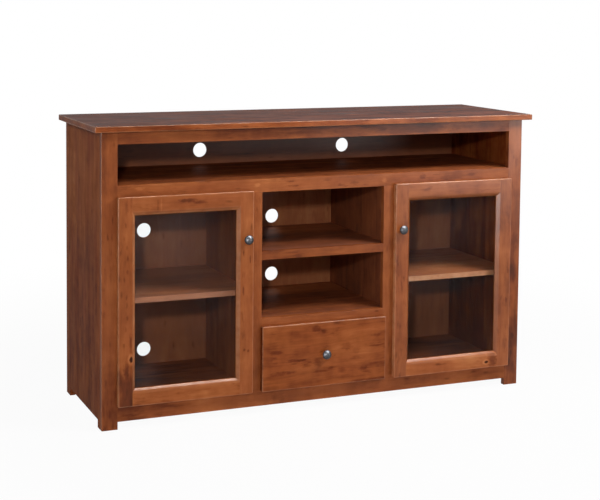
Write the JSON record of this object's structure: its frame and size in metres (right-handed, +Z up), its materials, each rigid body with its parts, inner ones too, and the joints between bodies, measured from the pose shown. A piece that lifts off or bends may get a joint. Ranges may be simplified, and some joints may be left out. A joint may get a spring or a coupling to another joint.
{
  "type": "tv stand",
  "caption": "Wide wooden media cabinet: open slot under the top, framed glass doors at the sides, open cubbies over a drawer in the middle.",
  "frame": {"origin": "on the floor, in the middle of the whole in X and Y", "axes": "+X along the width, -Y out of the front, +Z up"},
  "size_m": [1.576, 0.503, 0.965],
  "materials": {
    "stained_wood": "satin reddish brown stain on knotty hardwood",
    "plain_wood": "unfinished",
    "drawer_wood": "clear satin",
    "glass": "clear",
    "knob_metal": "dark pewter",
    "steel": "zinc plated",
    "bumper": "clear soft plastic"
  },
  "bodies": {
    "root": {"top": "stained_wood", "side_left": "stained_wood", "side_right": "stained_wood", "frame_stile_left": "stained_wood", "frame_stile_right": "stained_wood", "frame_stile_mid_left": "stained_wood", "frame_stile_mid_right": "stained_wood", "frame_rail_top": "stained_wood", "frame_rail_middle": "stained_wood", "frame_rail_bottom": "stained_wood", "frame_rail_shelf": "stained_wood", "frame_rail_drawer": "stained_wood", "upper_deck": "stained_wood", "bottom_panel": "stained_wood", "partition_left": "stained_wood", "partition_right": "stained_wood", "centre_shelf": "stained_wood", "drawer_deck": "stained_wood", "back_upper": "stained_wood", "back_left": "stained_wood", "back_centre": "stained_wood", "back_right": "stained_wood", "top_cleats": "plain_wood", "cabinet_screws": "steel", "shelf_left": "stained_wood", "shelf_right": "stained_wood", "shelf_pins": "steel", "slide_spacers": "plain_wood", "cabinet_slides": "steel", "hinge_plates": "steel", "bumpers": "bumper"},
    "left_door": {"left_door_hinge_stile": "stained_wood", "left_door_knob_stile": "stained_wood", "left_door_top_rail": "stained_wood", "left_door_bottom_rail": "stained_wood", "left_door_glass": "glass", "left_door_beads": "stained_wood", "left_door_knob": "knob_metal", "left_door_cups": "steel", "left_door_screws": "steel"},
    "right_door": {"right_door_hinge_stile": "stained_wood", "right_door_knob_stile": "stained_wood", "right_door_top_rail": "stained_wood", "right_door_bottom_rail": "stained_wood", "right_door_glass": "glass", "right_door_beads": "stained_wood", "right_door_knob": "knob_metal", "right_door_cups": "steel", "right_door_screws": "steel"},
    "drawer": {"drawer_front": "stained_wood", "drawer_box_front": "drawer_wood", "drawer_side_left": "drawer_wood", "drawer_side_right": "drawer_wood", "drawer_back": "drawer_wood", "drawer_bottom": "drawer_wood", "drawer_knob": "knob_metal", "drawer_slides": "steel", "drawer_screws": "steel"},
    "left_hinge_links": {"left_hinge_links": "steel"},
    "right_hinge_links": {"right_hinge_links": "steel"}
  },
  "joints": [
    {"name": "left_door_swing", "type": "hinge", "parent": "root", "child": "left_door", "pos_m": [-0.7105, -0.2145, 0.4085], "axis": [0, 0, -1], "range_deg": [0, 110]},
    {"name": "right_door_swing", "type": "hinge", "parent": "root", "child": "right_door", "pos_m": [0.7105, -0.2145, 0.4085], "axis": [0, 0, 1], "range_deg": [0, 110]},
    {"name": "drawer_slide", "type": "slide", "parent": "root", "child": "drawer", "axis": [0, -1, 0], "range_m": [0, 0.3]},
    {"name": "left_hinge_link_turn", "type": "hinge", "parent": "root", "child": "left_hinge_links", "pos_m": [-0.704, -0.2035, 0.4085], "axis": [0, 0, -1], "range_deg": [0, 71.5]},
    {"name": "right_hinge_link_turn", "type": "hinge", "parent": "root", "child": "right_hinge_links", "pos_m": [0.704, -0.2035, 0.4085], "axis": [0, 0, 1], "range_deg": [0, 71.5]}
  ],
  "couplings": [
    {"joint": "left_hinge_link_turn", "follows": "left_door_swing", "ratio": 0.65},
    {"joint": "right_hinge_link_turn", "follows": "right_door_swing", "ratio": 0.65}
  ]
}
